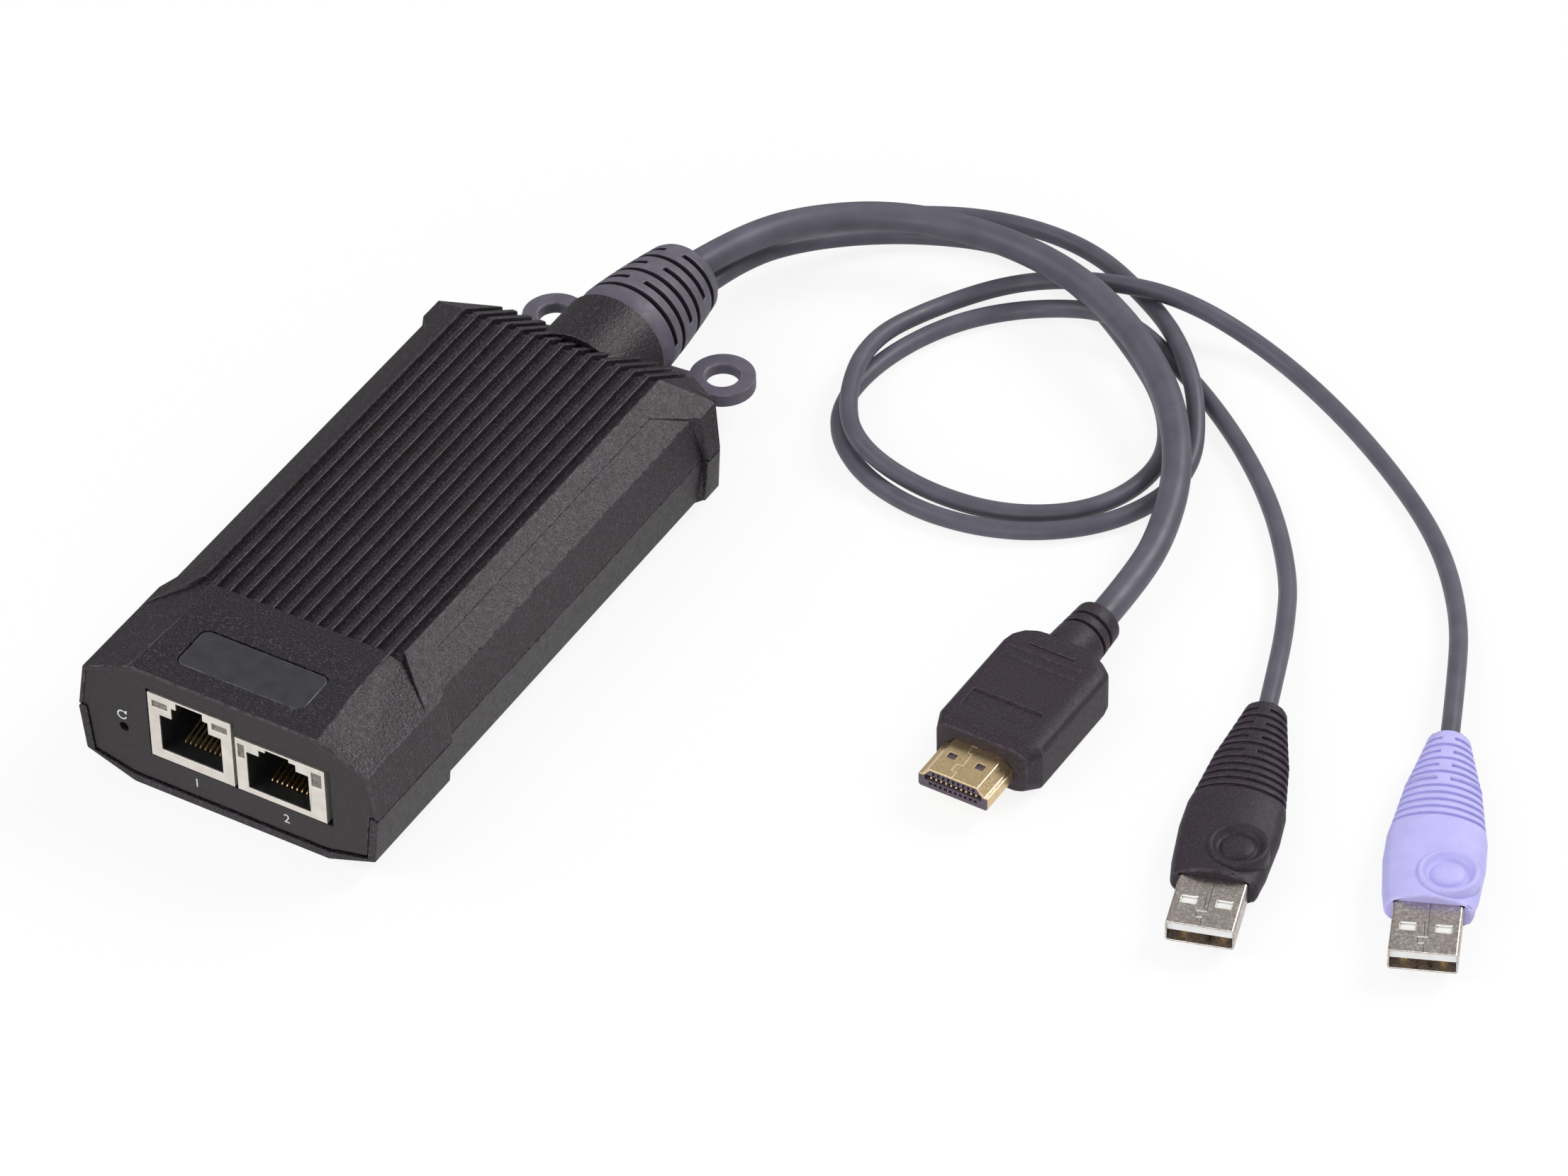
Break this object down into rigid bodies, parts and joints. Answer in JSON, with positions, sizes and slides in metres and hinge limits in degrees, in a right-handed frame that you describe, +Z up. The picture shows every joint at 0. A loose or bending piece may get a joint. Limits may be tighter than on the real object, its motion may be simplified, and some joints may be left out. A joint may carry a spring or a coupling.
{
  "type": "desk extender with captive leads",
  "caption": "Small ribbed desk housing with network jacks in its front wall and a rubber strain relief whose captive leads end in a video plug and data plugs.",
  "frame": {"origin": "middle of the housing's base face", "axes": "+Z up, -Y out of the front wall with the jacks, +X to the right seen from the front"},
  "size_m": [0.2339, 0.2114, 0.0278],
  "materials": {
    "case_black": "fine moulded texture, near black",
    "plate_grey": "bare satin plate",
    "relief_grey": "satin moulded rubber, purple grey",
    "lead_jacket": "semi-gloss jacket, slate grey",
    "grip_black": "fine moulded texture, near black",
    "grip_lavender": "satin moulded, lavender",
    "gold_shell": "plated, pale gold",
    "nickel_shell": "nickel plated",
    "shield_tin": "tin plated folded sheet",
    "contact_gold": "gold plated",
    "tongue_white": "smooth white",
    "insert_black": "smooth black",
    "lamp_clear": "clear, unlit",
    "board_green": "solder resist green",
    "chip_black": "moulded package",
    "header_white": "natural nylon",
    "switch_steel": "pressed steel frame",
    "plunger_black": "smooth black",
    "screw_steel": "zinc plated"
  },
  "bodies": {
    "housing": {"top_cover": "case_black", "bottom_cover": "case_black", "name_plate": "plate_grey", "cover_screws": "screw_steel", "strain_relief": "relief_grey", "main_board": "board_green", "processor_chip": "chip_black", "memory_chips": "chip_black", "network_transformer": "chip_black", "lead_headers": "header_white", "reset_switch_body": "switch_steel", "video_lead": "lead_jacket", "black_lead": "lead_jacket", "lavender_lead": "lead_jacket", "video_tail": "lead_jacket", "black_tail": "lead_jacket", "lavender_tail": "lead_jacket", "video_plug_grip": "grip_black", "video_plug_shell": "gold_shell", "video_plug_insert": "insert_black", "video_plug_contacts": "contact_gold", "jack_one_shield": "shield_tin", "jack_one_insert": "insert_black", "jack_one_contacts": "contact_gold", "jack_one_lamps": "lamp_clear", "jack_two_shield": "shield_tin", "jack_two_insert": "insert_black", "jack_two_contacts": "contact_gold", "jack_two_lamps": "lamp_clear", "black_plug_grip": "grip_black", "black_plug_shell": "nickel_shell", "black_plug_tongue": "tongue_white", "black_plug_contacts": "contact_gold", "lavender_plug_grip": "grip_lavender", "lavender_plug_shell": "nickel_shell", "lavender_plug_tongue": "tongue_white", "lavender_plug_contacts": "contact_gold"},
    "reset_button": {"reset_plunger": "plunger_black"}
  },
  "joints": [
    {"name": "reset_press", "type": "slide", "parent": "housing", "child": "reset_button", "axis": [0, 1, 0], "range_m": [0, 0.00025], "stiffness_N_per_m": 1000}
  ]
}
